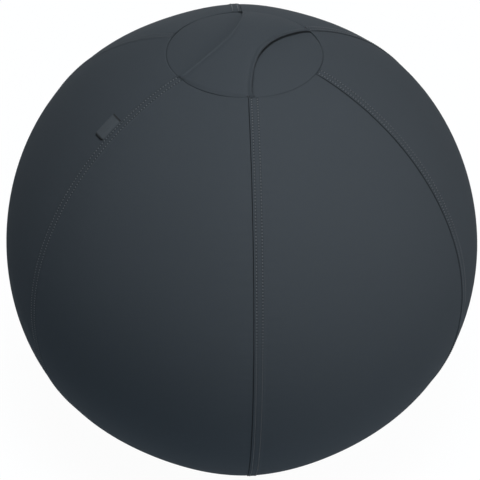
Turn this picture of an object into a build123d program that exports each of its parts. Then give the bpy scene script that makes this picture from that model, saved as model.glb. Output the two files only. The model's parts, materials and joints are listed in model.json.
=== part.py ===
from build123d import *
import math
import os

# Sitting ball. Millimetres, +Z up, origin on the floor under the ball's middle.
# The strap runs along Y with its front end at -Y. Seams lie every 60 degrees from +X.
# Depths are measured inward from the outside of the cover.

# Cover
ball_diameter = 650.0
crown_drop = 6.0
shoulder_offset = 20.0
foot_diameter = 114.0
panel_count = 6
cover_thickness = 1.6
lap_width = 13.0
lap_rise = 1.2
allowance_thickness = 0.9
sewn_gap = 0.3

# Crown piece and carrying strap
rim_diameter = 202.0
disc_sink = 0.8
disc_thickness = 1.4
strap_thickness = 1.8
strap_waist = 51.0
strap_waist_shift = 4.0
strap_corner_angle = 32.0
strap_front_turn = 3.0
strap_rise = 6.8
strap_seat_gap = 0.2
grip_length = 80.0
grip_gap = 0.3
tack_length = 9.0
tack_width = 1.6
tack_thickness = 0.6

# Tab in the front-left seam
tab_length = 34.0
tab_width = 17.0
tab_thickness = 1.2
tab_lift = 0.3
tab_angle = 55.9
tab_seam_angle = 240.0

# Base disc
base_diameter = 240.0
base_proud = 1.0

# Inner ball, valve and weight
ball_clearance = 0.3
ball_wall = 0.9
valve_angle = -30.0
valve_azimuth = 90.0
valve_diameter = 14.0
valve_flange_diameter = 22.0
valve_flange_thickness = 1.2
valve_bore = 8.2
valve_length = 18.0
valve_fit = 0.1
plug_diameter = 8.0
plug_head_diameter = 12.0
plug_head_thickness = 0.6
plug_length = 15.0
ballast_depth = 17.0

# Zip in the rear seam
zip_seam_angle = 120.0
zip_low_angle = -52.0
zip_high_angle = -2.0
zip_slot_width = 10.0
zip_tape_thickness = 0.6
zip_tape_reach = 15.0
zip_tape_over = 8.0
zip_tape_inner = 2.6
zip_tape_gap = 0.25
zip_chain_proud = 0.8
zip_chain_depth = 1.7
tooth_pitch = 4.0
tooth_length = 1.6
tooth_cross = 1.0
bead_width = 0.9
bead_proud = 0.3
stop_length = 4.0
slider_length = 18.0
slider_width = 9.2
slider_plate = 1.5
slider_tail_width = 7.0
slider_clearance = 0.3
slider_lip = 0.7
slider_lip_drop = 0.8
post_length = 6.0
post_width = 4.2
keeper_width = 4.4
keeper_thickness = 0.6
bail_length = 11.0
bail_width = 2.2
bail_bar = 1.3
bail_window = 2.6
pull_pin = 1.6
pull_length = 32.0
pull_width = 8.0
pull_thickness = 1.4
pull_window = 7.0

ball_radius = ball_diameter / 2
crown_height = ball_radius - crown_drop
shoulder_radius = ball_radius - shoulder_offset
shoulder_lift = crown_height - shoulder_radius
crown_middle = (shoulder_lift ** 2 - shoulder_offset ** 2) / (2 * shoulder_lift)
crown_radius = crown_height - crown_middle
shoulder_angle = math.degrees(math.atan2(-crown_middle, shoulder_offset))
rim_radius = rim_diameter / 2
base_radius = base_diameter / 2
base_inner = cover_thickness + allowance_thickness
inner_depth = base_inner + ball_clearance
panel_sweep = 360.0 / panel_count
centre_height = math.sqrt((ball_radius + base_proud) ** 2 - (foot_diameter / 2) ** 2)
centre = (0, 0, centre_height)
mm_per_degree = math.radians(1.0) * ball_radius


def shoulder_arc(depth):
    """Meridian from the widest circle up to where the flatter crown begins."""
    return CenterArc((shoulder_offset, centre_height), shoulder_radius - depth, 0, shoulder_angle)


def crown_arc(depth, low_angle, high_angle):
    """Meridian of the crown, a true circle, between two angles above its own middle."""
    middle = (0, centre_height + crown_middle)
    return CenterArc(middle, crown_radius - depth, low_angle, high_angle - low_angle)


def crown_angle(depth, r):
    """Angle at which the crown reaches the circle r."""
    return math.degrees(math.acos(r / (crown_radius - depth)))


def lower_arc(depth, low_angle, high_angle):
    """Meridian of the lower half, a true circle, between two angles below the widest circle."""
    return CenterArc((0, centre_height), ball_radius - depth, low_angle, high_angle - low_angle)


def circle_angle(depth, r_low):
    """Angle below the widest circle at which the lower half reaches the circle r_low."""
    return -math.degrees(math.acos(r_low / (ball_radius - depth)))


def crown_z(depth, r):
    """Height of the crown at radius r."""
    return centre_height + crown_middle + math.sqrt((crown_radius - depth) ** 2 - r ** 2)


def upright(edges):
    """Face from edges drawn as (radius, height), stood in the XZ plane."""
    return Plane.XZ * make_face(edges)


def upper_path(depth, r_top):
    """Meridian of the upper half from the widest circle up to the circle r_top."""
    return [shoulder_arc(depth), crown_arc(depth, shoulder_angle, crown_angle(depth, r_top))]


def band(outer, inner, r_top, r_low):
    """Section of a layer of the ball from the circle r_top down to the circle r_low."""
    low_out = lower_arc(outer, circle_angle(outer, r_low), 0)
    low_in = lower_arc(inner, circle_angle(inner, r_low), 0)
    top_out = upper_path(outer, r_top)
    top_in = upper_path(inner, r_top)
    ends = [Line(top_out[1] @ 1, top_in[1] @ 1), Line(low_in @ 0, low_out @ 0)]
    return upright([low_out, low_in] + top_out + top_in + ends)


def upper_band(outer, inner, r_top):
    """Section of a layer of the upper half only."""
    top_out = upper_path(outer, r_top)
    top_in = upper_path(inner, r_top)
    ends = [Line(top_out[1] @ 1, top_in[1] @ 1), Line(top_in[0] @ 0, top_out[0] @ 0)]
    return upright(top_out + top_in + ends)


def crown_band(outer, inner, low_angle, high_angle):
    """Section of a layer of the crown between two angles."""
    top_out = crown_arc(outer, low_angle, high_angle)
    top_in = crown_arc(inner, low_angle, high_angle)
    return upright([top_out, top_in, Line(top_out @ 1, top_in @ 1), Line(top_in @ 0, top_out @ 0)])


def lower_band(outer, inner, low_angle, high_angle):
    """Section of a layer of the lower half between two angles."""
    low_out = lower_arc(outer, low_angle, high_angle)
    low_in = lower_arc(inner, low_angle, high_angle)
    return upright([low_out, low_in, Line(low_out @ 1, low_in @ 1), Line(low_in @ 0, low_out @ 0)])


def across_seam(face, t_from, t_to):
    """Extrude a section in the seam's plane across the seam, from t_from to t_to."""
    return Pos(0, t_from, 0) * extrude(face, amount=t_to - t_from, dir=(0, 1, 0))


def foot_radius(depth):
    """Radius of the flat foot of a layer."""
    drop = centre_height - base_proud - depth
    return math.sqrt((ball_radius - depth) ** 2 - drop ** 2)


def foot_path(depth):
    """Outline of a layer from the crown's top down over the flat foot to the axis."""
    r_flat = foot_radius(depth)
    low = lower_arc(depth, circle_angle(depth, r_flat), 0)
    flat = Line(low @ 0, (0, base_proud + depth))
    return [flat, low] + upper_path(depth, 0)


def cover_panel(rib_low_angle):
    """One gore with its raised lap and the folded allowance under the lap."""
    r_top = rim_radius + sewn_gap
    r_low = base_radius + sewn_gap
    middle = cover_thickness / 2
    skin = revolve(band(0, cover_thickness, r_top, r_low), Axis.Z, panel_sweep)
    lap = across_seam(band(-lap_rise, middle, r_top, r_low), 0, lap_width)
    rib_top = across_seam(upper_band(middle, base_inner, r_top), 0, lap_width)
    rib_end = circle_angle(base_inner, r_low)
    rib_low = across_seam(lower_band(middle, base_inner, rib_end, rib_low_angle), 0, lap_width)
    return skin + [lap, rib_top, rib_low]


def zip_plane(angle):
    """Plane through the ball's middle: x is the radius at this angle, y runs across the seam."""
    turn = math.radians(angle)
    radial = (math.cos(turn), 0, math.sin(turn))
    along = (-math.sin(turn), 0, math.cos(turn))
    return Plane(origin=centre, x_dir=radial, z_dir=along)


def zip_run(section, low_angle, high_angle):
    """Turn a section (radius, across) about the zip's own axis from one angle to another."""
    start = zip_plane(low_angle) * section
    return revolve(start, Axis(centre, (0, -1, 0)), high_angle - low_angle)


def slab(outer, inner, t_from, t_to):
    """Rectangle between two depths and two distances across the seam."""
    high = ball_radius - outer
    low = ball_radius - inner
    return Pos((high + low) / 2, (t_from + t_to) / 2) * Rectangle(high - low, t_to - t_from)


def curved_slab(outer, inner, t_from, t_to):
    """Section that follows the ball between two depths and two distances across the seam."""
    high = ball_radius - outer
    low = ball_radius - inner
    arcs = []
    for radius in (high, low):
        first = math.degrees(math.asin(t_from / radius))
        last = math.degrees(math.asin(t_to / radius))
        arcs.append(CenterArc((0, 0), radius, first, last - first))
    sides = [Line(arcs[0] @ 0, arcs[1] @ 0), Line(arcs[0] @ 1, arcs[1] @ 1)]
    return make_face(arcs + sides)


def at_zip(shape):
    """Carry a zip piece from the XZ plane to the rear seam."""
    return Rot(0, 0, zip_seam_angle) * shape


# Cover gores
tape_low_angle = zip_low_angle - zip_tape_over / mm_per_degree
tape_high_angle = zip_high_angle + zip_tape_over / mm_per_degree
rib_margin = 3.0 / mm_per_degree
slot = zip_run(slab(-12, 12, -zip_slot_width / 2, zip_slot_width / 2), zip_low_angle, zip_high_angle)
plain_panel = cover_panel(0)
zip_panel = cover_panel(tape_low_angle - rib_margin) - slot
panel_beside_zip = Rot(0, 0, -panel_sweep) * plain_panel - slot

nodes = {}
for index in range(panel_count):
    start_angle = index * panel_sweep
    name = "cover_panel_%d" % (index + 1)
    if abs(start_angle - zip_seam_angle) < 1:
        nodes[name] = at_zip(zip_panel)
    elif abs(start_angle + panel_sweep - zip_seam_angle) < 1:
        nodes[name] = at_zip(panel_beside_zip)
    else:
        nodes[name] = Rot(0, 0, start_angle) * plain_panel

# Crown piece
disc_top = crown_z(disc_sink, 0)
disc_out = crown_arc(disc_sink, crown_angle(disc_sink, rim_radius), 90)
disc_in = crown_arc(disc_sink + disc_thickness, crown_angle(disc_sink + disc_thickness, rim_radius), 90)
disc_sides = [Line(disc_out @ 0, disc_in @ 0), Line(disc_out @ 1, disc_in @ 1)]
nodes["top_disc"] = revolve(upright([disc_out, disc_in] + disc_sides), Axis.Z)

# Carrying strap: an hourglass cut from a shallow arch over the crown piece
strap_rim = rim_radius - sewn_gap
arch_low = crown_z(disc_sink, strap_rim) + strap_seat_gap
arch_top = disc_top + strap_rise
arch_sag = arch_top - arch_low
arch_radius = (strap_rim ** 2 + arch_sag ** 2) / (2 * arch_sag)
arch_middle = arch_top - arch_radius
arch_half = math.degrees(math.asin((strap_rim + 4) / arch_radius))
arch_in = CenterArc((0, arch_middle), arch_radius, 90 - arch_half, arch_half)
arch_out = CenterArc((0, arch_middle), arch_radius + strap_thickness, 90 - arch_half, arch_half)
arch_ends = [Line(arch_in @ 0, arch_out @ 0), Line(arch_in @ 1, arch_out @ 1)]
arch = revolve(upright([arch_in, arch_out] + arch_ends), Axis.Z)


def strap_end(turn):
    """Point on the strap's round end at a turn from the front towards +X."""
    return (strap_rim * math.sin(math.radians(turn)), -strap_rim * math.cos(math.radians(turn)))


front_left = strap_end(strap_front_turn - strap_corner_angle)
front_right = strap_end(strap_front_turn + strap_corner_angle)
rear_left = strap_end(180 + strap_corner_angle)
rear_right = strap_end(180 - strap_corner_angle)
waist_left = (strap_waist_shift - strap_waist / 2, 0)
waist_right = (strap_waist_shift + strap_waist / 2, 0)
strap_outline = [
    ThreePointArc(front_right, waist_right, rear_right),
    ThreePointArc(rear_right, strap_end(180), rear_left),
    ThreePointArc(rear_left, waist_left, front_left),
    ThreePointArc(front_left, strap_end(strap_front_turn), front_right),
]
strap_prism = extrude(Pos(0, 0, arch_low - 20) * make_face(strap_outline), amount=80)
strap = arch & strap_prism
grip_box = Pos(0, 0, arch_top) * Box(rim_diameter, grip_length, 200)
end_length = rim_radius - grip_length / 2
end_box = Box(rim_diameter, end_length, 200)
end_shift = grip_length / 2 + grip_gap + end_length / 2
nodes["handle_grip"] = strap & grip_box
nodes["handle_front_end"] = strap & (Pos(0, -end_shift, arch_top) * end_box)
nodes["handle_rear_end"] = strap & (Pos(0, end_shift, arch_top) * end_box)

# Bar tacks at the strap's four corners
tack_radius = strap_rim - 2 * tack_width
tack_inset = math.degrees(math.asin((tack_length / 2 + tack_width) / tack_radius))
tack_turn = strap_corner_angle - tack_inset
tack_lean = math.asin(tack_radius / (arch_radius + strap_thickness))
tack_height = arch_radius + strap_thickness + tack_thickness / 2 + 0.1
tack_plate = extrude(SlotOverall(tack_length, tack_width), amount=tack_thickness / 2, both=True)
tacks = []
front_tacks = [strap_front_turn - tack_turn, strap_front_turn + tack_turn]
for turn in front_tacks + [180 - tack_turn, 180 + tack_turn]:
    out = (math.sin(math.radians(turn)), -math.cos(math.radians(turn)))
    normal = (out[0] * math.sin(tack_lean), out[1] * math.sin(tack_lean), math.cos(tack_lean))
    spot = (normal[0] * tack_height, normal[1] * tack_height, arch_middle + normal[2] * tack_height)
    tacks.append(Plane(origin=spot, x_dir=(-out[1], out[0], 0), z_dir=normal) * tack_plate)
nodes["bar_tacks"] = Compound(children=[Part(tack.wrapped) for tack in tacks])

# Tab in the front-left seam
tab_span = tab_length / mm_per_degree
tab_section = crown_band(-tab_lift - tab_thickness, -tab_lift, tab_angle - tab_span, tab_angle)
tab = across_seam(tab_section, -tab_width - 0.1, -0.1)
nodes["label_tab"] = Rot(0, 0, tab_seam_angle) * tab

# Base disc, proud of the cover so that only it meets the floor
base_out_flat = foot_radius(-base_proud)
base_in_flat = foot_radius(base_inner)
base_out = lower_arc(-base_proud, circle_angle(-base_proud, base_out_flat), circle_angle(-base_proud, base_radius))
base_in = lower_arc(base_inner, circle_angle(base_inner, base_in_flat), circle_angle(base_inner, base_radius))
base_section = [
    base_out,
    base_in,
    Line((0, 0), base_out @ 0),
    Line((0, base_proud + base_inner), base_in @ 0),
    Line((0, 0), (0, base_proud + base_inner)),
    Line(base_out @ 1, base_in @ 1),
]
nodes["base_disc"] = revolve(upright(base_section), Axis.Z)

# Inner ball with its valve
ball_in_depth = inner_depth + ball_wall
shell_out = foot_path(inner_depth)
shell_in = foot_path(ball_in_depth)
shell_ends = [Line(shell_out[0] @ 1, shell_in[0] @ 1), Line(shell_out[3] @ 1, shell_in[3] @ 1)]
shell = revolve(upright(shell_out + shell_in + shell_ends), Axis.Z)

valve_turn = math.radians(valve_angle)
valve_axis = (math.cos(valve_turn), 0, math.sin(valve_turn))
ball_outside = ball_radius - inner_depth
valve_plane = Plane(origin=centre, x_dir=(0, 1, 0), z_dir=valve_axis)


def valve_cylinder(diameter, low, high):
    """Cylinder on the valve's axis between two distances from the ball's middle."""
    return valve_plane * (Pos(0, 0, (low + high) / 2) * Cylinder(diameter / 2, high - low))


valve_hole = valve_cylinder(valve_diameter + 2 * valve_fit, ball_outside - 10, ball_outside + 10)
valve_low = ball_outside - valve_length
wall_inside = ball_radius - ball_in_depth
flange_drop = wall_inside - math.sqrt(wall_inside ** 2 - (valve_flange_diameter / 2) ** 2)
flange_top = wall_inside - flange_drop - valve_fit
tube = valve_cylinder(valve_diameter, valve_low, ball_outside - 0.2)
flange = valve_cylinder(valve_flange_diameter, flange_top - valve_flange_thickness, flange_top)
bore = valve_cylinder(valve_bore, valve_low - 1, ball_outside + 10)
plug_top = ball_outside + 0.1
plug_seat = valve_cylinder(plug_head_diameter + 2 * valve_fit, plug_top - plug_head_thickness, ball_outside + 10)
plug_head = valve_cylinder(plug_head_diameter, plug_top - plug_head_thickness, plug_top)
plug_stem = valve_cylinder(plug_diameter, plug_top - plug_length, plug_top)
at_valve = Rot(0, 0, valve_azimuth)
nodes["inner_ball"] = at_valve * (shell - valve_hole)
nodes["valve_seat"] = at_valve * (tube + flange - bore - plug_seat)
nodes["valve_plug"] = at_valve * (plug_head + plug_stem)

# Weight lying in the bottom of the inner ball
ballast_skin = ball_in_depth + ball_clearance
ballast_foot = base_proud + ballast_skin
ballast_top = ballast_foot + ballast_depth
ballast_r_top = math.sqrt((ball_radius - ballast_skin) ** 2 - (centre_height - ballast_top) ** 2)
ballast_side = lower_arc(ballast_skin, circle_angle(ballast_skin, foot_radius(ballast_skin)),
                         circle_angle(ballast_skin, ballast_r_top))
ballast_section = [
    ballast_side,
    Line((0, ballast_foot), ballast_side @ 0),
    Line(ballast_side @ 1, (0, ballast_top)),
    Line((0, ballast_foot), (0, ballast_top)),
]
nodes["ballast"] = revolve(upright(ballast_section), Axis.Z)

# Zip tapes under the edges of the slot
tape_top = cover_thickness + zip_tape_gap
tape_section = curved_slab(tape_top, tape_top + zip_tape_thickness, zip_tape_inner, zip_tape_reach)
tape_right = zip_run(tape_section, tape_low_angle, tape_high_angle)
nodes["zip_tape_right"] = at_zip(tape_right)
nodes["zip_tape_left"] = at_zip(mirror(tape_right, Plane.XZ))

# Zip teeth: each row is a bead along its tape with teeth that reach over the middle
stop_span = stop_length / mm_per_degree
slider_span = slider_length / mm_per_degree
post_span = post_length / mm_per_degree
gap_span = 0.4 / mm_per_degree
stop_low = zip_low_angle + gap_span
slider_low = stop_low + stop_span + gap_span
slider_high = slider_low + slider_span
post_low = slider_low + 2 * gap_span
teeth_low = post_low + post_span + gap_span
end_stop_high = zip_high_angle - gap_span
end_stop_low = end_stop_high - stop_span
bead_high = end_stop_low - gap_span
tooth_span = tooth_length / mm_per_degree
pitch_span = tooth_pitch / mm_per_degree
tooth_count = int((bead_high - teeth_low - pitch_span) / pitch_span)


def ring_tooth(low_angle, high_angle):
    """Section of one tooth in the seam's plane."""
    corners = []
    for radius, angle in (
        (ball_radius + zip_chain_proud, low_angle),
        (ball_radius + zip_chain_proud, high_angle),
        (ball_radius - zip_chain_depth, high_angle),
        (ball_radius - zip_chain_depth, low_angle),
    ):
        turn = math.radians(angle)
        corners.append((radius * math.cos(turn), centre_height + radius * math.sin(turn)))
    return upright(Polyline(*corners, close=True).edges())


def teeth_row(stagger):
    """One row on the right-hand tape; stagger shifts its teeth along the chain."""
    bead_in = zip_tape_inner - 0.1
    bead_section = slab(-bead_proud, zip_chain_depth, bead_in, zip_tape_inner + bead_width)
    row = zip_run(bead_section, slider_low, bead_high)
    teeth = []
    for tooth in range(tooth_count):
        low = teeth_low + tooth * pitch_span + stagger
        teeth.append(across_seam(ring_tooth(low, low + tooth_span), -tooth_cross, bead_in + 0.3))
    return row + teeth


nodes["zip_teeth_right"] = at_zip(teeth_row(0))
nodes["zip_teeth_left"] = at_zip(mirror(teeth_row(pitch_span / 2), Plane.XZ))

# Stops at both ends of the chain
stop_section = slab(-zip_chain_proud, zip_chain_depth, zip_tape_inner, zip_tape_inner + 1.6)
stop_right = zip_run(stop_section, stop_low, stop_low + stop_span)
stop_left = mirror(stop_right, Plane.XZ)
nodes["zip_top_stops"] = at_zip(Compound(children=[Part(stop_right.wrapped), Part(stop_left.wrapped)]))
bridge = slab(-zip_chain_proud, zip_chain_depth, -zip_tape_inner - 1.2, zip_tape_inner + 1.2)
nodes["zip_end_stop"] = at_zip(zip_run(bridge, end_stop_low, end_stop_high))

# Zip slider: top plate with lips, keeper under the teeth, post between them, bail on top
plate_low = -zip_chain_proud - slider_clearance
plate_high = plate_low - slider_plate
slider_middle = (slider_low + slider_high) / 2
plan_low = -slider_length / 2
plan_high = slider_length / 2
plan = Polyline(
    (slider_width / 2, plan_low),
    (slider_width / 2, 0),
    (slider_tail_width / 2, plan_high),
    (-slider_tail_width / 2, plan_high),
    (-slider_width / 2, 0),
    (-slider_width / 2, plan_low),
    close=True,
)
plan_face = fillet(make_face(plan).vertices(), radius=1.4)
plan_stand = Plane(origin=centre, x_dir=(0, 1, 0), z_dir=zip_plane(slider_middle).x_dir)
plan_prism = extrude(plan_stand * plan_face, amount=2 * ball_radius)
plate_ring = zip_run(slab(plate_high, plate_low, -slider_width, slider_width), slider_low - 1, slider_high + 1)
plate = plate_ring & plan_prism
lip_outer = slider_width / 2
lip_section = slab(plate_low - 0.3, plate_low + slider_lip_drop, lip_outer - slider_lip, lip_outer)
lip_right = zip_run(lip_section, slider_low + 2 * gap_span, slider_middle - gap_span)
keeper_low = zip_chain_depth + 0.1
keeper = zip_run(slab(keeper_low, keeper_low + keeper_thickness, -keeper_width / 2, keeper_width / 2),
                 slider_low + gap_span, slider_high - 8 * gap_span)
post = zip_run(slab(plate_low - 0.3, keeper_low + 0.2, -post_width / 2, post_width / 2),
               post_low, post_low + post_span)
bail_span = bail_length / mm_per_degree
bail_low = slider_middle - bail_span / 2
bail_high = slider_middle + bail_span / 2
bail_foot = plate_high + 0.2
bail_under = plate_high - bail_window
bail_top = bail_under - bail_bar
bail_whole = zip_run(slab(bail_top, bail_foot, -bail_width / 2, bail_width / 2), bail_low, bail_high)
bar_span = bail_bar / mm_per_degree
bail_hole = zip_run(slab(bail_under, plate_high, -bail_width, bail_width), bail_low + bar_span, bail_high - bar_span)
slider = plate + [lip_right, mirror(lip_right, Plane.XZ), post, keeper, bail_whole - bail_hole]
nodes["zip_slider"] = at_zip(slider)

# Zip pull, hanging straight down from its pin in the bail
pin_radius = ball_radius - (plate_high - bail_window / 2)
pin_turn = math.radians(slider_middle)
pin = (pin_radius * math.cos(pin_turn), 0, centre_height + pin_radius * math.sin(pin_turn))
leg_inner = bail_width / 2 + 0.4
pull_top = pull_thickness / 2
pull_frame = Pos(0, -(pull_length - pull_top) / 2) * RectangleRounded(pull_width, pull_length + pull_top, 1.2)
pull_gap = Pos(0, -pull_window / 2) * Rectangle(2 * leg_inner, pull_window)
pull_grip = Pos(0, -pull_length + 6) * Circle(1.8)
pull_open = Pos(0, pull_top) * Rectangle(2 * leg_inner, 2 * pull_top + 0.2)
pull_sheet = extrude(pull_frame - pull_gap - pull_grip - pull_open, amount=pull_thickness / 2, both=True)
pull_stand = Plane(origin=pin, x_dir=(0, 1, 0), z_dir=(1, 0, 0))
pull_bar = Pos(*pin) * Rot(90, 0, 0) * Cylinder(pull_pin / 2, 2 * leg_inner + 1.0)
nodes["zip_pull"] = at_zip(pull_stand * pull_sheet + pull_bar)

os.makedirs("parts", exist_ok=True)
for name, shape in nodes.items():
    export_step(shape, "parts/%s.step" % name)

pin_at = Rot(0, 0, zip_seam_angle) * Pos(*pin)
print("centre height", round(centre_height, 4))
print("crown", round(crown_z(0, 0), 3), "disc top", round(disc_top, 3), "strap underside", round(arch_top, 3))
print("pin", [round(v, 4) for v in tuple(pin_at.position)], "slider angle", round(slider_middle, 3))
print("travel", round(end_stop_low - gap_span - slider_high, 3))
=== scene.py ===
import json
import math
import bmesh
import bpy
import numpy as np
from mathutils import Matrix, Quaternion, Vector


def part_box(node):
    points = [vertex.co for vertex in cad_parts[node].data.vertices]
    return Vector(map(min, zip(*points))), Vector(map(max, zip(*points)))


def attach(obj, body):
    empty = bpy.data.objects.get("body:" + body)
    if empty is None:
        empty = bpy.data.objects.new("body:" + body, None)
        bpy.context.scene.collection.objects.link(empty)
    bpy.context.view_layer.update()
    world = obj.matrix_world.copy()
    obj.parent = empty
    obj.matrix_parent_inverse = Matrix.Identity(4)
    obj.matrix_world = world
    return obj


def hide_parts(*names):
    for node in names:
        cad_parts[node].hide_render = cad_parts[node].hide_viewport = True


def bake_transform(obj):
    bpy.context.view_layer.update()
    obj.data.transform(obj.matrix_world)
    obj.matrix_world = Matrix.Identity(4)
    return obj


# Sitting ball: its sewn cover, carrying strap, tab, zip and inner ball, in metres.
# Seams lie every 60 degrees from +X. A seam's lap lies on its right, seen from outside.
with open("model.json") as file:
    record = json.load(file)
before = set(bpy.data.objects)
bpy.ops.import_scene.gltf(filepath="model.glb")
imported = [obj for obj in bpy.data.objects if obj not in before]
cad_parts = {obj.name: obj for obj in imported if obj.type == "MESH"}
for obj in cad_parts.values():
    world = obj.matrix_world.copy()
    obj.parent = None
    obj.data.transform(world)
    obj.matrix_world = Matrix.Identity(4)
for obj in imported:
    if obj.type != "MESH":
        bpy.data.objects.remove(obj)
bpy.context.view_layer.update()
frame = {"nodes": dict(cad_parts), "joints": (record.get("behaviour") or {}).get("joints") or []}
joints = {joint["name"]: joint for joint in frame["joints"]}
mm = 0.001

# Curve of the cover, from the base up over the widest circle to the crown
ball_radius = 325 * mm
crown_drop = 6 * mm
shoulder_offset = 20 * mm
ball_middle = joints["zip_travel"]["pos_m"][2]
rim_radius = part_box("top_disc")[1].x
base_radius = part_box("base_disc")[1].x
sewn_gap = 0.3 * mm
shoulder_radius = ball_radius - shoulder_offset
shoulder_lift = shoulder_offset - crown_drop
crown_middle = (shoulder_lift ** 2 - shoulder_offset ** 2) / (2 * shoulder_lift)
crown_radius = ball_radius - crown_drop - crown_middle
shoulder_turn = math.atan2(-crown_middle, shoulder_offset)
shoulder_run = shoulder_radius * shoulder_turn
crown_run = shoulder_run + crown_radius * (math.pi / 2 - shoulder_turn)
base_run = -ball_radius * math.acos((base_radius + sewn_gap) / ball_radius)
rim_run = crown_run - crown_radius * math.asin((rim_radius + sewn_gap) / crown_radius)

# Gores and their seams
panel_count = 6
panel_sweep = 2 * math.pi / panel_count
cover_thickness = 1.6 * mm
row_step = 2 * mm
end_rows_mm = (0.4, 0.8, 1.2)
lap_columns_mm = (
    0, 0.15, 0.3, 0.45, 0.6, 0.9, 1.4, 2, 2.6, 3.1, 3.5, 3.9, 4.4, 5.2, 7.2, 9, 10, 10.6, 11,
    11.4, 12, 12.8, 13.6, 14.4, 15.4, 16.6, 18.5,
)
middle_columns = 30
edge_columns_mm = (14, 9, 6, 4, 2.8, 2, 1.3, 0.9, 0.6, 0.3, 0)
ridge_height = 2.1 * mm
ridge_end_share = 0.25
lap_width = 13 * mm
lap_rise = 0.75 * mm
lap_fall = 5.5 * mm
lap_end_run = 14 * mm
ditch_depth = 0.8 * mm
ditch_width = 0.6 * mm
fold_depth = 0.7 * mm
fold_width = 1.3 * mm
rim_fold_depth = 0.5 * mm
rim_fold_width = 1.5 * mm
# Strength of the painted shade in the seam's ditch and fold
fold_shade = 0.9
pucker_height = 0.12 * mm
pucker_reach = 22 * mm
pucker_start = 3 * mm
pucker_waves = (3.1 * mm, 1.9 * mm)
pucker_offset = 50 * mm
stitch_rows = (3.5 * mm, 11 * mm)
stitch_pitch = 2 * row_step
stitch_length = 2.2 * mm
stitch_width = 1.5 * mm
stitch_height = 0.85 * mm
stitch_proud = 0.12 * mm
stitch_dent = 0.4 * mm
dent_width = 0.7 * mm
dent_mean = 0.65
dent_swing = 0.35
# Painted shade in the needle holes
hole_width = 1.0 * mm
hole_shade = 0.95

# Crown piece and strap
disc_sink = 0.8 * mm
disc_thickness = 1.4 * mm
# Painted shade along the crown piece's rim
rim_shade = 0.5
rim_shade_width = 0.8 * mm
strap_thickness = 1.8 * mm
strap_waist = 51 * mm
strap_waist_shift = 4 * mm
strap_waist_back = -6 * mm
strap_droop = (0.3 * mm, 2.5 * mm)
strap_bead = (1.2 * mm, 1.3 * mm)
strap_bead_run = (3 * mm, 6 * mm)
strap_crest_start = 1.0 * mm
strap_crest_end = 1.2 * mm
strap_dip = 0.6 * mm
strap_dip_width = 2.5 * mm
strap_edge_bevel = 0.7 * mm
# Painted shade under the strap's long edges
strap_seam_shade = 0.9
strap_press_depth = 0.5 * mm
strap_press_width = 1.3 * mm
# Strength of the painted contact shadow beside the strap's edges
strap_press_shade = 0.75
strap_press_start, strap_press_full = 0.45, 0.75
strap_free_share = 0.55
strap_end_run = 0.06
strap_end_sink = 0.3 * mm
strap_end_thinning = 1.2 * mm
# Painted shade at the strap's ends
strap_end_shade = 0.2
strap_end_shade_run = 0.15 * strap_end_run
tack_count = 4
tack_start = 1.6 * mm
tack_pitch = 2.7 * mm
tack_inset = 1.2 * mm
tack_sink = 0.9 * mm
tack_size = (1.4 * mm, 1.1 * mm, 2.1 * mm)
front_low, front_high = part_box("handle_front_end")
rear_low, rear_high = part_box("handle_rear_end")
strap_rim = rear_high.y
arch_low = front_low.z
arch_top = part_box("handle_grip")[1].z - strap_thickness
arch_sag = arch_top - arch_low
arch_radius = (strap_rim ** 2 + arch_sag ** 2) / (2 * arch_sag)
arch_middle = arch_top - arch_radius
left_waist, right_waist = strap_waist_shift - strap_waist / 2, strap_waist_shift + strap_waist / 2
strap_sides = ((front_low.x, rear_low.x, left_waist), (front_high.x, rear_high.x, right_waist))

# Zip in the rear seam
zip_seam = math.radians(120)
zip_low = math.radians(-52) * ball_radius
zip_high = math.radians(-2) * ball_radius
zip_half_slot = 5 * mm
zip_end_run = 7 * mm
zip_calm_run = 100 * mm
zip_calm_share = 0.5
tape_inner = 2.6 * mm
tape_reach = 15 * mm
tape_over = 8 * mm
tape_depth = 1.85 * mm
tape_thickness = 0.6 * mm

# Tab in the front-left seam
tab_seam = math.radians(240)
tab_length = 34 * mm
tab_width = 17 * mm
tab_cloth = 0.45 * mm
tab_fold = 0.85 * mm
tab_lift = 1.5 * mm
tab_flare = 5 * mm
tab_edge_sink = 0.5 * mm
tab_edge_share = 0.3
# Painted shade at the tab loop's open ends
tab_end_shade = (1.2 * mm, 2.2 * mm)
tab_top_angle = math.radians(55.9)
tab_top_run = shoulder_run + crown_radius * (tab_top_angle - shoulder_turn)

# Inner ball
ball_wall = 0.9 * mm


def ease(low, high, value):
    """Smooth step from 0 at low to 1 at high."""
    share = np.clip((value - low) / (high - low), 0.0, 1.0)
    return share * share * (3 - 2 * share)


def meridian(run):
    """Radius, height and outward direction of the cover at a run up from the widest circle."""
    run = np.asarray(run, float)
    low = run < 0
    high = run >= shoulder_run
    angle = np.where(low, run / ball_radius, run / shoulder_radius)
    angle = np.where(high, shoulder_turn + (run - shoulder_run) / crown_radius, angle)
    reach = np.where(low, ball_radius, np.where(high, crown_radius, shoulder_radius))
    start = np.where(low | high, 0.0, shoulder_offset)
    middle = ball_middle + np.where(high, crown_middle, 0.0)
    return start + reach * np.cos(angle), middle + reach * np.sin(angle), np.cos(angle), np.sin(angle)


def cover_point(turn, run, lift):
    """Points at a turn about the upright and a run up the cover, lifted off its nominal surface."""
    radius, height, out, up = meridian(run)
    reach = radius + out * lift
    return np.stack(np.broadcast_arrays(reach * np.cos(turn), reach * np.sin(turn), height + up * lift), -1)


def cover_axes(turn, run):
    """Directions across to the right, up along the cover and outward."""
    out, up = meridian(run)[2:]
    across = np.stack([-np.sin(turn), np.cos(turn), 0 * turn], -1)
    along = np.stack([-up * np.cos(turn), -up * np.sin(turn), out], -1)
    return across, along, np.cross(across, along)


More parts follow.
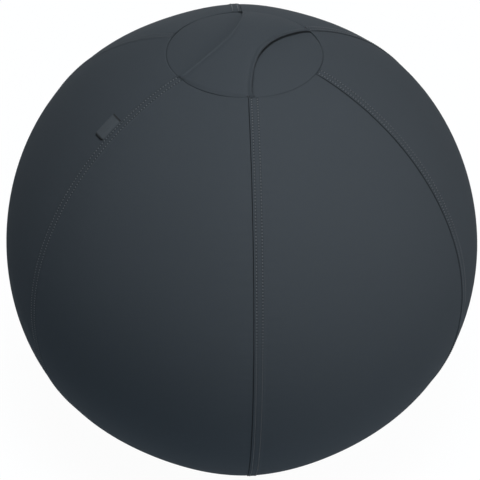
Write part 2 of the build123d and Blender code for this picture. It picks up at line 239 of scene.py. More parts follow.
def zip_share(run):
    """How far the slot for the zip is open at a run."""
    opening = ease(zip_low - zip_end_run / 2, zip_low + zip_end_run / 2, run)
    return opening * (1 - ease(zip_high - zip_end_run / 2, zip_high + zip_end_run / 2, run))


def slot_shift(seam, run):
    """How far a seam's edges draw back for the zip."""
    at_zip = abs(seam - zip_seam) < panel_sweep / 2
    return zip_half_slot * zip_share(run) * at_zip


def ridge(turn, run):
    """How far the tight gores stand out along the seams and sink between them."""
    share = (run - base_run) / (rim_run - base_run)
    swell = np.sin(np.pi * np.clip(share, 0.0, 1.0))
    height = ridge_height * (ridge_end_share + (1 - ridge_end_share) * swell)
    calm = ease(zip_low - zip_calm_run, zip_low, run) * (1 - ease(zip_high, zip_high + zip_calm_run, run))
    calm = calm * (1 - ease(0.0, zip_calm_share, np.abs(turn - zip_seam) / panel_sweep))
    return height * (1 - calm) * np.cos(panel_count * turn)


def lap_lift(across, run):
    """Height of the raised, topstitched lap at a distance from the ditch."""
    rise = ease(0, ditch_width, across)
    fall = 1 - ease(lap_width - lap_fall / 2, lap_width + lap_fall / 2, across)
    to_end = np.minimum(rim_run - run, run - base_run)
    lift = lap_rise * rise * fall * ease(0, lap_end_run, to_end) - ditch_depth * (1 - rise)
    pull = dent_mean + dent_swing * np.cos(2 * np.pi * (run - base_run) / stitch_pitch)
    for row in stitch_rows:
        lift = lift - stitch_dent * pull * np.exp(-((across - row) / dent_width) ** 2)
    return lift


def pucker(distance, run):
    """Slight waves that the tight sewing draws into the cloth beside a seam."""
    long_wave, short_wave = pucker_waves
    wave = np.sin(run / long_wave) + 0.7 * np.sin(run / short_wave + 1.3)
    return pucker_height * wave * np.exp(-distance / pucker_reach)


def cover_lift(turn, run, across, to_next):
    """Lift of a gore's outside: ridge, lap, puckers and the edges that fold in."""
    lift = ridge(turn, run) + lap_lift(across, run)
    lift -= fold_depth * (1 - ease(0, fold_width, to_next))
    lift += pucker(np.abs(across - lap_width), run) * ease(lap_width, lap_width + pucker_start, across)
    lift += pucker(to_next, run + pucker_offset) * ease(0, pucker_start, to_next)
    to_rim = np.minimum(rim_run - run, run - base_run)
    return lift - rim_fold_depth * (1 - ease(0, rim_fold_width, to_rim))


def gore_rows():
    """Runs of a gore's rows, close together where its ends fold in."""
    count = round((rim_run - base_run) / row_step / 2) * 2
    rows = np.linspace(base_run, rim_run, count + 1)
    ends = np.array(end_rows_mm) * mm
    return np.sort(np.concatenate([rows, base_run + ends, rim_run - ends]))


def gore_turns(radius, own_shift, next_shift):
    """Turns of a gore's columns: close by the lap and the far edge, wide apart between them."""
    from_seam = np.array(lap_columns_mm) * mm + own_shift[:, None]
    to_next = np.array(edge_columns_mm) * mm + next_shift[:, None]
    start = np.arcsin(from_seam / radius[:, None])
    end = panel_sweep - np.arcsin(to_next / radius[:, None])
    share = np.arange(1, middle_columns + 1) / (middle_columns + 1)
    between = start[:, -1:] + (end[:, :1] - start[:, -1:]) * share
    return np.concatenate([start, between, end], 1)


def cloth_slab(columns, rows):
    """Flat closed slab of quads, outside at z 0 and inside at z -1, to be laid out on its form."""
    bm = bmesh.new()
    bmesh.ops.create_grid(bm, x_segments=columns, y_segments=rows, size=0.5)
    copied = bmesh.ops.extrude_face_region(bm, geom=bm.faces[:], use_keep_orig=True)
    inside = [part for part in copied["geom"] if isinstance(part, bmesh.types.BMVert)]
    bmesh.ops.translate(bm, verts=inside, vec=(0, 0, -1))
    bmesh.ops.recalc_face_normals(bm, faces=bm.faces)
    return bm


def to_mesh(name, bm):
    """Mesh of a bmesh, with its vertices as an array."""
    mesh = bpy.data.meshes.new(name)
    bm.to_mesh(mesh)
    bm.free()
    spots = np.empty(len(mesh.vertices) * 3, np.float32)
    mesh.vertices.foreach_get("co", spots)
    return mesh, spots.reshape(-1, 3)


def lay_out(name, bm, outside, inside, cut, painted_shade=None, under=None):
    """Move a flat grid or slab onto its form; cut is its flat pattern, kept as its UV.

    The shade map is painted shade on the outside, and under is painted shade on the inside where it
    differs.
    """
    rows, columns = outside.shape[0] - 1, outside.shape[1] - 1
    mesh, spots = to_mesh(name, bm)
    column = np.rint((spots[:, 0] + 0.5) * columns).astype(int)
    row = np.rint((spots[:, 1] + 0.5) * rows).astype(int)
    placed = np.where(spots[:, 2:] > -0.5, outside[row, column], inside[row, column])
    mesh.vertices.foreach_set("co", placed.astype(np.float32).ravel())
    corners = np.empty(len(mesh.loops), np.int32)
    mesh.loops.foreach_get("vertex_index", corners)
    flat = cut[row[corners], column[corners]].astype(np.float32)
    mesh.uv_layers.new(name="cut").data.foreach_set("uv", flat.ravel())
    if painted_shade is not None:
        # Painted shade: per-vertex darkness standing in for shade in creases, folds, holes and under edges
        layer = mesh.attributes.new("painted_shade", "FLOAT", "POINT")
        inner = painted_shade if under is None else under
        dark = np.where(spots[:, 2] > -0.5, painted_shade[row, column], inner[row, column])
        layer.data.foreach_set("value", dark.astype(np.float32))
    mesh.update()
    return mesh


def make_piece(name, mesh, finish, crisp=math.radians(50)):
    """Turn a mesh into a piece with its finish and material slot."""
    mesh.shade_smooth()
    mesh.set_sharp_from_angle(angle=crisp)
    mesh.materials.append(finish)
    piece = bpy.data.objects.new(name, mesh)
    bpy.context.scene.collection.objects.link(piece)
    return piece


def give_with_seat(piece):
    """Bake the piece's place into its mesh."""
    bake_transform(piece)


# Node helpers
def feed(tree, value, socket):
    """Link a socket to another, or set its value."""
    if isinstance(value, bpy.types.NodeSocket):
        tree.links.new(value, socket)
    else:
        socket.default_value = value


def add_node(tree, kind, inputs=None, **settings):
    """Add a node with its settings and inputs."""
    node = tree.nodes.new(kind)
    for key, value in settings.items():
        setattr(node, key, value)
    for key, value in (inputs or {}).items():
        feed(tree, value, node.inputs[key])
    return node


def reckon(tree, operation, first, second=0.0):
    """Output of a maths node."""
    return add_node(tree, "ShaderNodeMath", {0: first, 1: second}, operation=operation).outputs[0]


def mix_colours(tree, first, second, factor, blend_type="MIX"):
    """Output of a colour mix."""
    node = add_node(tree, "ShaderNodeMix", data_type="RGBA", blend_type=blend_type)
    feed(tree, factor, node.inputs["Factor"])
    feed(tree, first, node.inputs[6])
    feed(tree, second, node.inputs[7])
    return node.outputs[2]


def new_group(name, inputs, outputs):
    """Empty shader group with named inputs and outputs; returns its tree and two end nodes."""
    tree = bpy.data.node_groups.new(name, "ShaderNodeTree")
    for socket, kind in inputs.items():
        tree.interface.new_socket(socket, in_out="INPUT", socket_type="NodeSocket" + kind)
    for socket, kind in outputs.items():
        tree.interface.new_socket(socket, in_out="OUTPUT", socket_type="NodeSocket" + kind)
    return tree, tree.nodes.new("NodeGroupInput"), tree.nodes.new("NodeGroupOutput")


def knit_group():
    """Jersey knit: upright wales, each a column of leaning loops. Puts out its height."""
    tree, given, out = new_group(
        "knit", {"Vector": "Vector", "Wale": "Float", "Course": "Float"}, {"Height": "Float"}
    )
    axes = add_node(tree, "ShaderNodeSeparateXYZ", {0: given.outputs["Vector"]})
    wale = reckon(tree, "DIVIDE", axes.outputs[0], given.outputs["Wale"])
    course = reckon(tree, "DIVIDE", axes.outputs[1], given.outputs["Course"])
    lean = reckon(tree, "PINGPONG", wale, 0.5)
    loop = reckon(tree, "SINE", reckon(tree, "MULTIPLY", reckon(tree, "ADD", course, lean), 2 * math.pi))
    rib = reckon(tree, "ABSOLUTE", reckon(tree, "SINE", reckon(tree, "MULTIPLY", wale, math.pi)))
    height = reckon(tree, "ADD", reckon(tree, "MULTIPLY", rib, 0.6), reckon(tree, "MULTIPLY", loop, 0.2))
    feed(tree, reckon(tree, "ADD", height, 0.2), out.inputs["Height"])
    return tree


def weave_group():
    """Plain ribbed weave of warp and weft. Puts out its height."""
    tree, given, out = new_group(
        "weave", {"Vector": "Vector", "Warp": "Float", "Weft": "Float"}, {"Height": "Float"}
    )
    axes = add_node(tree, "ShaderNodeSeparateXYZ", {0: given.outputs["Vector"]})
    warp = reckon(tree, "MULTIPLY", reckon(tree, "DIVIDE", axes.outputs[0], given.outputs["Warp"]), math.pi)
    weft = reckon(tree, "MULTIPLY", reckon(tree, "DIVIDE", axes.outputs[1], given.outputs["Weft"]), math.pi)
    over = reckon(tree, "MULTIPLY", reckon(tree, "SINE", warp), reckon(tree, "SINE", weft))
    ribs = reckon(tree, "ABSOLUTE", reckon(tree, "SINE", weft))
    height = reckon(tree, "ADD", reckon(tree, "MULTIPLY", over, 0.25), reckon(tree, "MULTIPLY", ribs, 0.5))
    feed(tree, reckon(tree, "ADD", height, 0.25), out.inputs["Height"])
    return tree


def mottle_group():
    """Soft uneven tone of dyed or moulded stuff, from 0 to 1, coarse and fine together."""
    tree, given, out = new_group(
        "mottle", {"Vector": "Vector", "Coarse": "Float", "Fine": "Float"}, {"Tone": "Float"}
    )
    coarse = add_node(tree, "ShaderNodeTexNoise", {"Vector": given.outputs["Vector"]})
    fine = add_node(tree, "ShaderNodeTexNoise", {"Vector": given.outputs["Vector"]})
    feed(tree, given.outputs["Coarse"], coarse.inputs["Scale"])
    feed(tree, given.outputs["Fine"], fine.inputs["Scale"])
    both = reckon(tree, "ADD", coarse.outputs["Fac"], fine.outputs["Fac"])
    feed(tree, reckon(tree, "MULTIPLY", both, 0.5), out.inputs["Tone"])
    return tree


knit = knit_group()
weave = weave_group()
mottle = mottle_group()


def place_group(tree, group, **inputs):
    """Place a shader group in a material with its own values; returns its first output."""
    node = add_node(tree, "ShaderNodeGroup", node_tree=group)
    for key, value in inputs.items():
        feed(tree, value, node.inputs[key])
    return node.outputs[0]


def new_finish(name, specular, sheen=0.0, metallic=0.0):
    """Material with its node tree, its principled shader and its texture coordinates."""
    finish = bpy.data.materials.new(name)
    finish.use_nodes = True
    tree = finish.node_tree
    shader = tree.nodes["Principled BSDF"]
    shader.inputs["Specular IOR Level"].default_value = specular
    shader.inputs["Sheen Weight"].default_value = sheen
    shader.inputs["Sheen Roughness"].default_value = 0.5
    shader.inputs["Metallic"].default_value = metallic
    return finish, tree, shader, tree.nodes.new("ShaderNodeTexCoord")


def spread(tree, tone, low, high):
    """Value that runs from low to high with a tone."""
    return add_node(tree, "ShaderNodeMapRange", {0: tone, 3: low, 4: high}).outputs[0]


def shade(colour, factor):
    """Colour made lighter or darker by a factor."""
    return (*[part * factor for part in colour[:3]], 1.0)


def bump(tree, shader, height, depth, strength=1.0):
    """Feed a height into the shader's normal."""
    node = add_node(tree, "ShaderNodeBump", {"Height": height, "Distance": depth, "Strength": strength})
    feed(tree, node.outputs[0], shader.inputs["Normal"])


knit_wale = 0.95 * mm
knit_course = 0.8 * mm
cover_colour = (0.0555, 0.0655, 0.0758)
# The thread's own grey, set lighter than the cover partly as a painted highlight on the stitches
thread_and_highlight_colour = (0.130, 0.145, 0.159)
tack_colour = (0.012, 0.014, 0.016)
tab_colour = (0.060, 0.071, 0.081)
tape_colour = (0.035, 0.040, 0.045)
plastic_colour = (0.030, 0.033, 0.036)
metal_colour = (0.050, 0.053, 0.057)
base_colour = (0.030, 0.032, 0.035)
ball_colour = (0.25, 0.26, 0.27)
valve_colour = (0.70, 0.70, 0.68)
sand_colour = (0.40, 0.34, 0.26)


def cover_fabric(name, coordinates):
    """Charcoal jersey knit: fine wales, an uneven dye, painted shade and highlight on the knit's loops, and
    painted shade where the cloth folds in.
    """
    finish, tree, shader, spots = new_finish(name, specular=0.04)
    loops = place_group(tree, knit, Vector=spots.outputs[coordinates], Wale=knit_wale, Course=knit_course)
    tone = place_group(tree, mottle, Vector=spots.outputs["Object"], Coarse=9.0, Fine=140.0)
    dye = mix_colours(tree, shade(cover_colour, 0.95), shade(cover_colour, 1.05), tone)
    # Painted shade and highlight: colour darker in the knit's low loops and lighter on its raised ones
    dye_with_knit_shade = mix_colours(tree, dye, spread(tree, loops, 0.78, 1.14), 1.0, "MULTIPLY")
    # Painted shade from the cloth's shade attribute: creases, folds, needle holes, rim and strap edges
    painted_shade = add_node(tree, "ShaderNodeAttribute", attribute_name="painted_shade")
    with_painted_shade = mix_colours(tree, dye_with_knit_shade, shade(cover_colour, 0.22), painted_shade.outputs["Fac"])
    feed(tree, with_painted_shade, shader.inputs["Base Color"])
    feed(tree, spread(tree, tone, 0.78, 0.94), shader.inputs["Roughness"])
    bump(tree, shader, loops, 0.15 * mm, 0.8)
    return finish


def yarn(name, colour):
    """Twisted sewing thread."""
    finish, tree, shader, spots = new_finish(name, specular=0.2, sheen=0.05)
    twist = add_node(tree, "ShaderNodeTexWave", {"Vector": spots.outputs["Object"], "Scale": 900.0},
                     bands_direction="DIAGONAL")
    tone = place_group(tree, mottle, Vector=spots.outputs["Object"], Coarse=60.0, Fine=900.0)
    plies = mix_colours(tree, shade(colour, 0.75), shade(colour, 1.15), twist.outputs["Fac"])
    uneven = mix_colours(tree, plies, spread(tree, tone, 0.85, 1.15), 1.0, "MULTIPLY")
    feed(tree, uneven, shader.inputs["Base Color"])
    feed(tree, spread(tree, tone, 0.55, 0.8), shader.inputs["Roughness"])
    bump(tree, shader, twist.outputs["Fac"], 0.06 * mm)
    return finish


def ribbon(name, colour, warp, weft):
    """Dark woven ribbon, ribbed across, with painted shade where its shade attribute is set."""
    finish, tree, shader, spots = new_finish(name, specular=0.15, sheen=0.03)
    ribs = place_group(tree, weave, Vector=spots.outputs["UV"], Warp=warp, Weft=weft)
    tone = place_group(tree, mottle, Vector=spots.outputs["Object"], Coarse=40.0, Fine=600.0)
    dye = mix_colours(tree, shade(colour, 0.85), shade(colour, 1.15), tone)
    woven = mix_colours(tree, dye, spread(tree, ribs, 0.6, 1.25), 1.0, "MULTIPLY")
    # Painted shade at the tab loop's open ends, from its shade attribute
    painted_shade = add_node(tree, "ShaderNodeAttribute", attribute_name="painted_shade")
    with_painted_shade = mix_colours(tree, woven, shade(colour, 0.15), painted_shade.outputs["Fac"])
    feed(tree, with_painted_shade, shader.inputs["Base Color"])
    feed(tree, spread(tree, tone, 0.6, 0.85), shader.inputs["Roughness"])
    bump(tree, shader, ribs, 0.15 * mm)
    return finish


def moulded(name, colour, low_gloss, high_gloss, grain, depth, specular=0.5, metallic=0.0):
    """Moulded, coated or poured stuff with a grain of its own scale and an uneven gloss."""
    finish, tree, shader, spots = new_finish(name, specular, metallic=metallic)
    tone = place_group(tree, mottle, Vector=spots.outputs["Object"], Coarse=25.0, Fine=grain)
    tint = mix_colours(tree, shade(colour, 0.85), shade(colour, 1.15), tone)
    feed(tree, tint, shader.inputs["Base Color"])
    feed(tree, spread(tree, tone, low_gloss, high_gloss), shader.inputs["Roughness"])
    bump(tree, shader, tone, depth)
    return finish


gore_fabric = cover_fabric("gore_fabric", "UV")
flat_fabric = cover_fabric("crown_fabric", "Object")
seam_thread = yarn("seam_thread", thread_and_highlight_colour)
tack_thread = yarn("tack_thread", tack_colour)
tab_ribbon = ribbon("tab_ribbon", tab_colour, 0.5 * mm, 0.7 * mm)
tape_ribbon = ribbon("tape_ribbon", tape_colour, 0.6 * mm, 0.6 * mm)
tooth_plastic = moulded("tooth_plastic", plastic_colour, 0.4, 0.55, 1500.0, 0.02 * mm, 0.3)
slider_metal = moulded("slider_metal", metal_colour, 0.3, 0.45, 1200.0, 0.02 * mm, 0.6, 0.6)
base_rubber = moulded("base_rubber", base_colour, 0.8, 0.95, 1600.0, 0.12 * mm, 0.12)
ball_skin = moulded("ball_skin", ball_colour, 0.3, 0.5, 700.0, 0.08 * mm)
valve_plastic = moulded("valve_plastic", valve_colour, 0.35, 0.5, 900.0, 0.02 * mm)
ballast_sand = moulded("ballast_sand", sand_colour, 0.85, 1.0, 1800.0, 0.4 * mm, 0.2)


def needle_hole_shade(across, run):
    """Painted shade in the needle holes of the lap, between one stitch and the next."""
    gap = 0.5 + 0.5 * np.cos(2 * np.pi * (run - base_run) / stitch_pitch)
    near = sum(np.exp(-((across - row) / hole_width) ** 2) for row in stitch_rows)
    return hole_shade * gap * near


def cover_gore(index):
    """One gore of the cover with its lap along the seam where it starts."""
    seam = index * panel_sweep
    after = seam + panel_sweep
    rows = gore_rows()
    radius = meridian(rows)[0]
    own_shift, next_shift = slot_shift(seam, rows), slot_shift(after, rows)
    turns = gore_turns(radius, own_shift, next_shift)
    run = rows[:, None]
    across = radius[:, None] * np.sin(turns) - own_shift[:, None]
    to_next = radius[:, None] * np.sin(panel_sweep - turns) - next_shift[:, None]
    outside = cover_point(seam + turns, run, cover_lift(seam + turns, run, across, to_next))
    inside = cover_point(seam + turns, run, ridge(seam + turns, run) - cover_thickness - rim_fold_depth)
    flat = (turns - panel_sweep / 2) * radius[:, None]
    cut = np.stack(np.broadcast_arrays(flat, run), -1)
    # Painted shade in the seam's ditch, along the far edge's fold and in the needle holes
    folded = 1 - ease(0, 1, np.minimum(across / ditch_width, to_next / (0.7 * fold_width)))
    painted_shade = np.clip(np.maximum(fold_shade * folded, needle_hole_shade(across, run)), 0, 1)
    bm = cloth_slab(turns.shape[1] - 1, len(rows) - 1)
    name = "gore_%d" % (index + 1)
    gore = make_piece(name, lay_out(name, bm, outside, inside, cut, painted_shade), gore_fabric)
    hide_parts("cover_panel_%d" % (index + 1))
    give_with_seat(gore)


def lay_threads(name, spots, sides, alongs, size, finish):
    """Short threads, rounded at both ends; size is their width, height and length."""
    bm = bmesh.new()
    bmesh.ops.create_uvsphere(bm, u_segments=6, v_segments=4, radius=0.5)
    single = bpy.data.meshes.new("single_thread")
    bm.to_mesh(single)
    for _ in range(len(spots) - 1):
        bm.from_mesh(single)
    bpy.data.meshes.remove(single)
    mesh, shape = to_mesh(name, bm)
    shape = shape.reshape(len(spots), -1, 3) * np.array(size)
    outs = np.cross(alongs, sides)
    placed = spots[:, None] + shape[..., :1] * sides[:, None]
    placed = placed + shape[..., 1:2] * outs[:, None] + shape[..., 2:] * alongs[:, None]
    mesh.vertices.foreach_set("co", placed.astype(np.float32).ravel())
    mesh.update()
    return make_piece(name, mesh, finish)


def seam_stitches(index):
    """Two rows of topstitching along the lap of one seam, and one along the zip's other edge."""
    seam = index * panel_sweep
    runs = np.arange(base_run + stitch_pitch / 2, rim_run - stitch_pitch / 4, stitch_pitch)
    parts = []
    by_zip = runs[slot_shift(seam, runs) > zip_half_slot / 2]
    first, second = stitch_rows
    for row, hand, kept in ((first, 1, runs), (second, 1, runs), (first, -1, by_zip)):
        turn = seam + hand * np.arcsin((row + slot_shift(seam, kept)) / meridian(kept)[0])
        lift = ridge(turn, kept) + stitch_proud
        if hand > 0:
            lift = lift + lap_lift(row, kept)
        side, along = cover_axes(turn, kept)[:2]
        parts.append((cover_point(turn, kept, lift), side, along))
    spots, sides, alongs = [np.concatenate(group) for group in zip(*parts)]
    size = (stitch_width, stitch_height, stitch_length)
    give_with_seat(lay_threads("stitches_%d" % (index + 1), spots, sides, alongs, size, seam_thread))


def arch_height(x, y):
    """Underside of the strap over the crown piece."""
    return arch_middle + np.sqrt(arch_radius ** 2 - x * x - y * y)


def strap_side(along, front_x, rear_x, waist_x):
    """One long edge of the strap in plan, drawn in at the waist; along runs from -1 to 1."""
    corner_x = np.where(along < 0, front_x, rear_x)
    corner_y = np.sqrt(strap_rim ** 2 - corner_x ** 2) * np.where(along < 0, -1, 1)
    y = strap_waist_back + np.abs(along) * (corner_y - strap_waist_back)
    return waist_x + (corner_x - waist_x) * along ** 2, y


def reach_rim(x, y, along):
    """Draw the strap's two ends out to the rim's arc."""
    rim_y = np.sqrt(np.maximum(strap_rim ** 2 - x * x, 0)) * np.sign(along)
    return y + (rim_y - y) * np.abs(along) ** 6


def strap_press(x, y):
    """How far the crown piece is pressed in under the strap's long edges, near its ends."""
    along = np.linspace(-1, 1, 401)
    press = np.zeros(len(x))
    for side in strap_sides:
        edge_x, edge_y = strap_side(along, *side)
        edge_y = reach_rim(edge_x, edge_y, along)
        from_edge = x - np.interp(y, edge_y, edge_x)
        held = ease(strap_press_start, strap_press_full, np.abs(np.interp(y, edge_y, along)))
        press = np.maximum(press, held * np.exp(-(from_edge / strap_press_width) ** 2))
    return press


def crown_cloth():
    """Round crown piece, folded in along its rim and pressed in by the strap, with painted shade along the
    rim and beside the strap's edges.
    """
    bm = bmesh.new()
    reach = crown_radius - disc_sink
    middle = ball_middle + crown_middle
    top = bm.verts.new((0, 0, middle + reach))
    half = math.asin(rim_radius / reach)
    bmesh.ops.spin(bm, geom=[top], cent=(0, 0, middle), axis=(0, 1, 0), angle=half, steps=100)
    outline = bm.verts[:] + bm.edges[:]
    bmesh.ops.spin(bm, geom=outline, cent=(0, 0, 0), axis=(0, 0, 1), angle=2 * math.pi, steps=360,
                   use_merge=True)
    bmesh.ops.remove_doubles(bm, verts=bm.verts, dist=0.01 * mm)
    bmesh.ops.recalc_face_normals(bm, faces=bm.faces)
    if sum(face.normal.z for face in bm.faces) < 0:
        bmesh.ops.reverse_faces(bm, faces=bm.faces)
    mesh, spots = to_mesh("crown_cloth", bm)
    to_rim = rim_radius - np.hypot(spots[:, 0], spots[:, 1])
    press = strap_press(spots[:, 0], spots[:, 1])
    spots[:, 2] -= rim_fold_depth * (1 - ease(0, rim_fold_width, to_rim)) + strap_press_depth * press
    mesh.vertices.foreach_set("co", spots.ravel())
    # Painted shade along the rim's fold, and a painted contact shadow beside the strap's pressed edges
    dark = np.maximum(rim_shade * (1 - ease(0, rim_shade_width, to_rim)), strap_press_shade * press)
    mesh.attributes.new("painted_shade", "FLOAT", "POINT").data.foreach_set("value", dark.astype(np.float32))
    mesh.update()
    disc = make_piece("crown_cloth", mesh, flat_fabric)
    wall = disc.modifiers.new("thickness", "SOLIDIFY")
    wall.thickness = disc_thickness
    wall.offset = -1
    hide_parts("top_disc")
    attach(disc, "seat")


def carrying_strap():
    """Hourglass strap: two layers of cover cloth, turned and pressed, arched over the crown piece, with
    painted shade at its ends and under its long edges.
    """
    columns, rows = 48, 140
    lean = np.sin((np.arange(columns + 1) / columns - 0.5) * np.pi)[None, :]
    along = np.sin(np.linspace(-1, 1, rows + 1) * np.pi / 2)[:, None]
    left, right = [strap_side(along, *side) for side in strap_sides]
    x, y = [low + (high - low) * (0.5 + 0.5 * lean) for low, high in zip(left, right)]
    y = reach_rim(x, y, along)
    end = ease(1 - strap_end_run, 1, np.abs(along))
    free = 1 - ease(strap_free_share, 1, np.abs(along))
    droop = np.where(lean < 0, *strap_droop) * np.abs(lean) ** 3 * free
    under = arch_height(x, y) - droop - strap_end_sink * end
    from_edge = (1 - np.abs(lean)) * (right[0] - left[0]) / 2
    bead_run = np.where(lean < 0, *strap_bead_run)
    crest = ease(0, strap_crest_start, from_edge) * (1 - ease(strap_crest_end, bead_run, from_edge))
    dip = strap_dip * np.exp(-((from_edge - bead_run) / strap_dip_width) ** 2)
    bead = (np.where(lean < 0, *strap_bead) * crest - dip) * (1 - end)
    thickness = strap_thickness + bead - strap_end_thinning * end
    cut = np.stack([x, y], -1)
    outside = np.stack([x, y, under + thickness], -1)
    inside = np.stack([x, y, under], -1)
    # Painted shade at the strap's ends where they tuck into the rim, and under its long edges
    painted_shade = strap_end_shade * ease(1 - strap_end_shade_run, 1, np.abs(along)) + 0 * x
    edge_shade = np.maximum(painted_shade, strap_seam_shade * (np.abs(lean) > 0.999))
    bm = cloth_slab(columns, rows)
    mesh = lay_out("carrying_strap", bm, outside, inside, cut, painted_shade, edge_shade)
    strap = make_piece("carrying_strap", mesh, flat_fabric)
    soft = strap.modifiers.new("pressed_edge", "BEVEL")
    soft.width = strap_edge_bevel
    soft.segments = 3
    soft.limit_method = "ANGLE"
    soft.angle_limit = math.radians(50)
    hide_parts("handle_front_end", "handle_rear_end", "handle_grip")
    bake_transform(strap)


def bar_tacks():
    """Short dark threads that hold the strap's four corners to the rim."""
    radius = strap_rim - tack_inset
    turns = []
    for corner_x, hand, middle in (
        (front_low.x, 1, 0), (front_high.x, -1, 0), (rear_low.x, -1, math.pi), (rear_high.x, 1, math.pi)
    ):
        corner = math.asin(corner_x / strap_rim)
        corner = corner if middle == 0 else math.pi - corner
        steps = tack_start + tack_pitch * np.arange(tack_count)
        turns += list(corner + hand * steps / radius)
    turn = np.array(turns)
    x, y = radius * np.sin(turn), -radius * np.cos(turn)
    sides = np.stack([np.sin(turn), -np.cos(turn), 0 * turn], -1)
    alongs = np.stack([np.cos(turn), np.sin(turn), 0 * turn], -1)
    height = arch_height(x, y) + strap_thickness - tack_sink
    spots = np.stack([x, y, height], -1)
    tacks = lay_threads("tack_threads", spots, sides, alongs, tack_size, tack_thread)
    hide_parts("bar_tacks")
    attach(tacks, "seat")


def tab_loop():
    """Folded woven tab, caught in the seam by both its edges and open at its two ends."""
    columns, rows = 72, 24
    share = np.linspace(-1, 1, columns + 1)[None, :]
    along = np.linspace(0, 1, rows + 1)[:, None]
    quarter = tab_fold * math.pi / 2
    length = quarter + tab_width - tab_fold
    path = np.abs(share) * length
    bend = np.minimum(path / tab_fold, math.pi / 2)
    away = tab_width - tab_fold + tab_fold * np.cos(bend) - np.maximum(path - quarter, 0)
    flare = ease(0, tab_flare, away)
    lift = tab_lift * flare - tab_edge_sink * (1 - flare)
    opening = tab_edge_share + (1 - tab_edge_share) * flare
    lift = lift + np.sign(share) * tab_fold * np.sin(bend) * opening
    run = tab_top_run - tab_length * (1 - along)
    turn = tab_seam - np.arcsin(away / meridian(run)[0])
    outside = cover_point(turn, run, lift + ridge(turn, run))
    cut = np.stack(np.broadcast_arrays(share * length, along * tab_length), -1)
    to_end = tab_length * np.minimum(along, 1 - along)
    # Painted shade at the tab loop's two open ends
    painted_shade = 1 - ease(*tab_end_shade, to_end) + 0 * share
    bm = bmesh.new()
    bmesh.ops.create_grid(bm, x_segments=columns, y_segments=rows, size=0.5)
    mesh = lay_out("tab_loop", bm, outside, outside, cut, painted_shade)
    tab = make_piece("tab_loop", mesh, tab_ribbon)
    wall = tab.modifiers.new("thickness", "SOLIDIFY")
    wall.thickness = tab_cloth
    wall.offset = 0
    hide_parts("label_tab")
    give_with_seat(tab)


def zip_tape(name, hand):
    """Woven tape under one edge of the zip's slot."""
    columns, rows = 8, 140
    low, high = zip_low - tape_over, zip_high + tape_over
    share = np.linspace(0, 1, columns + 1)[None, :]
    share = share if hand > 0 else 1 - share
    across = hand * (tape_inner + (tape_reach - tape_inner) * share)
    run = np.linspace(low, high, rows + 1)[:, None]
    turn = zip_seam + np.arcsin(across / meridian(run)[0])
    outside = cover_point(turn, run, -tape_depth)
    inside = cover_point(turn, run, -tape_depth - tape_thickness)
    cut = np.stack(np.broadcast_arrays(across, run), -1)
    mesh = lay_out(name + "_cloth", cloth_slab(columns, rows), outside, inside, cut)
    tape = make_piece(name + "_cloth", mesh, tape_ribbon)
    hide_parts(name)
    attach(tape, "ball")


def inner_ball():
    """Inflated inner ball, drawn to the cover's shape and flat where it stands."""
    bm = bmesh.new()
    bmesh.ops.create_uvsphere(bm, u_segments=120, v_segments=80, radius=1.0)
    low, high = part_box("inner_ball")
    mesh, spots = to_mesh("inflated_ball", bm)
    share = np.arccos(np.clip(spots[:, 2], -1, 1)) / math.pi
    run = crown_run - share * (crown_run + ball_radius * math.pi / 2)
    placed = cover_point(np.arctan2(spots[:, 1], spots[:, 0]), run, high.x - ball_radius)
    placed[:, 2] = np.maximum(placed[:, 2], low.z)
    mesh.vertices.foreach_set("co", placed.astype(np.float32).ravel())
    mesh.update()
    ball = make_piece("inflated_ball", mesh, ball_skin)
    wall = ball.modifiers.new("thickness", "SOLIDIFY")
    wall.thickness = ball_wall
    wall.offset = -1
    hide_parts("inner_ball")
    give_with_seat(ball)


for index in range(panel_count):
    cover_gore(index)
    seam_stitches(index)
crown_cloth()
carrying_strap()
bar_tacks()
tab_loop()
zip_tape("zip_tape_left", -1)
zip_tape("zip_tape_right", 1)
inner_ball()

# Finishes of the solids that stay
kept_finishes = {
    "base_disc": base_rubber,
    "zip_teeth_left": tooth_plastic,
    "zip_teeth_right": tooth_plastic,
    "zip_top_stops": slider_metal,
    "zip_end_stop": tooth_plastic,
    "zip_slider": slider_metal,
    "zip_pull": slider_metal,
    "valve_seat": valve_plastic,
    "valve_plug": valve_plastic,
    "ballast": ballast_sand,
}
for node, finish in kept_finishes.items():
    solid = frame["nodes"][node]
    solid.data.materials.clear()
    solid.data.materials.append(finish)

# Camera at the photograph's viewing angle, and the lamps' distance from the ball
camera_turn = math.radians(26.84)
camera_rise = math.radians(38.49)
camera_lean = math.radians(0.99)
camera_distance = 2.592
lamp_distance = 3.0
camera = bpy.data.objects.new("camera", bpy.data.cameras.new("camera"))
bpy.context.scene.collection.objects.link(camera)
bpy.context.scene.camera = camera


def direction(turn, rise):
    """Direction outward at a turn from the front and a rise above level."""
    return Vector((math.sin(turn) * math.cos(rise), -math.cos(turn) * math.cos(rise), math.sin(rise)))


back = direction(camera_turn, camera_rise)
camera.location = Vector((0, 0, ball_middle)) + back * camera_distance
lean = Quaternion((0, 0, 1), camera_lean)
camera.rotation_euler = (back.to_track_quat("Z", "Y") @ lean).to_euler()
camera.data.sensor_width = 36
camera.data.lens = 140.48
camera.data.shift_x = -0.0032
camera.data.shift_y = -0.0044


def soft_box(name, turn, rise, side, power, colour):
    """Square soft box that faces the ball from a turn and a rise, in degrees."""
    light = bpy.data.lights.new(name, "AREA")
    light.size = side
    light.energy = power
    light.color = colour
    lamp = bpy.data.objects.new(name, light)
    bpy.context.scene.collection.objects.link(lamp)
    out = direction(math.radians(turn), math.radians(rise))
    lamp.location = Vector((0, 0, ball_middle)) + out * lamp_distance
    lamp.rotation_euler = out.to_track_quat("Z", "Y").to_euler()


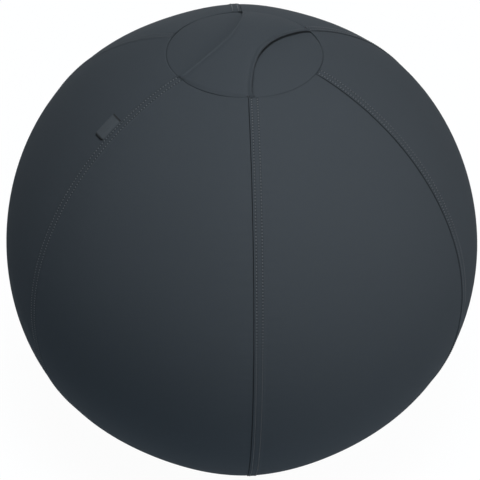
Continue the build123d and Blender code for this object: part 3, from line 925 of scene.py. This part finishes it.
soft_box("key_light", turn=84, rise=29, side=1.6, power=28, colour=(1.0, 0.94, 0.90))
soft_box("over_light", turn=29, rise=70, side=1.2, power=48, colour=(0.95, 0.98, 1.0))
soft_box("top_light", turn=0, rise=85, side=1.4, power=14, colour=(0.97, 0.98, 1.0))
soft_box("back_light", turn=212, rise=5, side=1.6, power=22, colour=(0.97, 0.99, 1.0))


def seen_ray(tree):
    """1 for rays from the camera and for those that show in gloss or glass."""
    path = tree.nodes.new("ShaderNodeLightPath")
    shown = reckon(tree, "MAXIMUM", path.outputs["Is Camera Ray"], path.outputs["Is Glossy Ray"])
    return reckon(tree, "MAXIMUM", shown, path.outputs["Is Transmission Ray"])


def pale_floor():
    """Pale floor that shows almost white and keeps the ball's shadow."""
    bm = bmesh.new()
    bmesh.ops.create_grid(bm, x_segments=1, y_segments=1, size=8)
    mesh = to_mesh("floor", bm)[0]
    floor = bpy.data.objects.new("floor", mesh)
    bpy.context.scene.collection.objects.link(floor)
    finish = bpy.data.materials.new("pale_floor")
    finish.use_nodes = True
    tree = finish.node_tree
    paint = tree.nodes["Principled BSDF"]
    paint.inputs["Base Color"].default_value = (0.62, 0.74, 0.84, 1)
    paint.inputs["Roughness"].default_value = 0.9
    glow = add_node(tree, "ShaderNodeEmission", {"Color": (1, 1, 1, 1), "Strength": 1.04})
    share = reckon(tree, "MULTIPLY", seen_ray(tree), 0.93)
    mix = add_node(tree, "ShaderNodeMixShader", {0: share, 1: paint.outputs[0], 2: glow.outputs[0]})
    feed(tree, mix.outputs[0], tree.nodes["Material Output"].inputs["Surface"])
    mesh.materials.append(finish)


def studio_world():
    """White backdrop to the eye, and a weak bluish fill on the ball."""
    world = bpy.data.worlds.new("studio")
    bpy.context.scene.world = world
    world.use_nodes = True
    tree = world.node_tree
    fill = tree.nodes["Background"]
    fill.inputs["Color"].default_value = (0.75, 0.95, 1.0, 1)
    fill.inputs["Strength"].default_value = 0.02
    white = add_node(tree, "ShaderNodeBackground", {"Color": (1, 1, 1, 1), "Strength": 1.0})
    seen = seen_ray(tree)
    mix = add_node(tree, "ShaderNodeMixShader", {0: seen, 1: fill.outputs[0], 2: white.outputs[0]})
    feed(tree, mix.outputs[0], tree.nodes["World Output"].inputs["Surface"])


pale_floor()
studio_world()
bpy.context.scene.view_settings.view_transform = "Standard"
